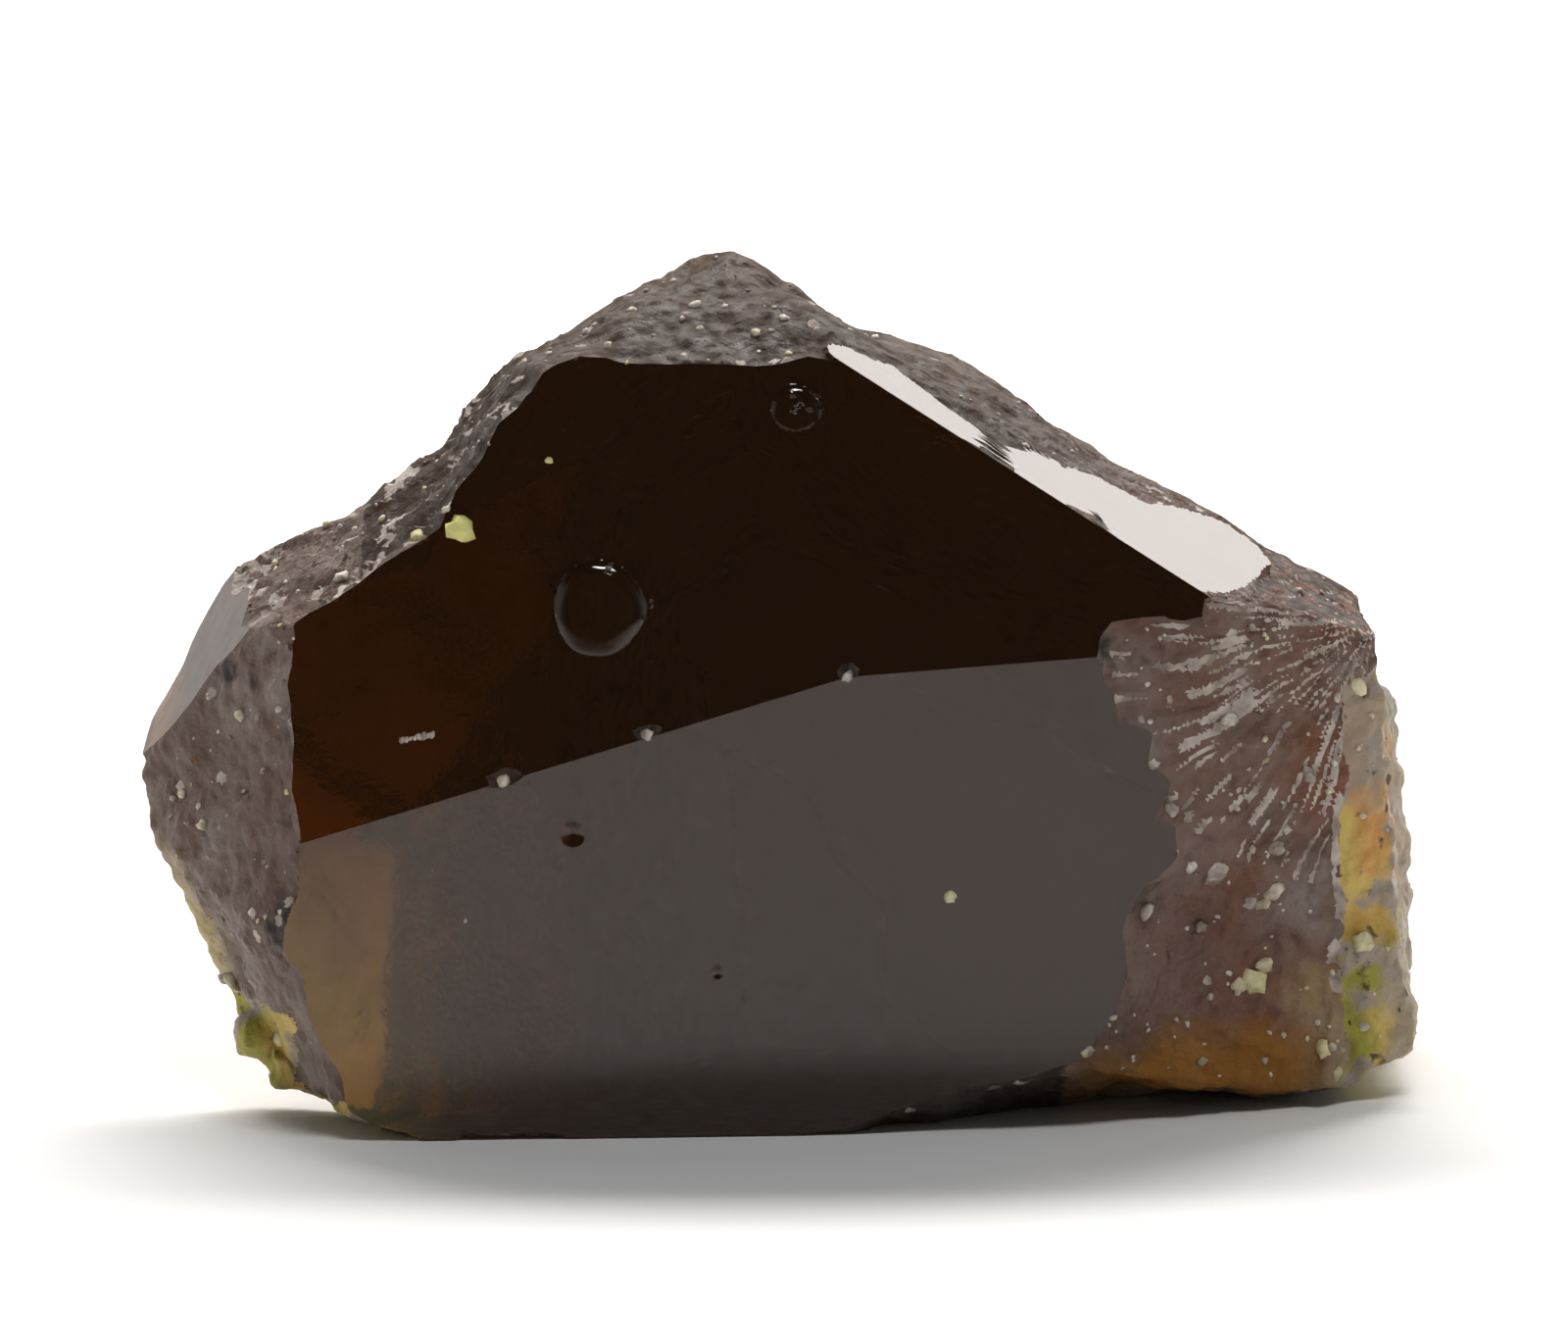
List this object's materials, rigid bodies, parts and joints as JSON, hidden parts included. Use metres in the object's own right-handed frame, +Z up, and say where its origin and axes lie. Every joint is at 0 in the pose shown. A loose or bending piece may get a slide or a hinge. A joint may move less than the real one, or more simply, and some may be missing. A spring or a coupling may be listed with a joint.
{
  "type": "rough garnet",
  "caption": "Broken fragment of transparent brown garnet with smooth crystal faces and rough fractures, which rests on a flat underside as a mineral specimen.",
  "frame": {"origin": "centre of the bounding box in plan, on the plane that the stone rests on", "axes": "+X along the stone's length, -Y out of the side with the large smooth faces, +Z up"},
  "size_m": [0.024, 0.0134, 0.0155],
  "materials": {
    "brown_garnet": "glassy on the smooth faces, sugary on the breaks"
  },
  "bodies": {
    "root": {"garnet": "brown_garnet"}
  },
  "joints": []
}
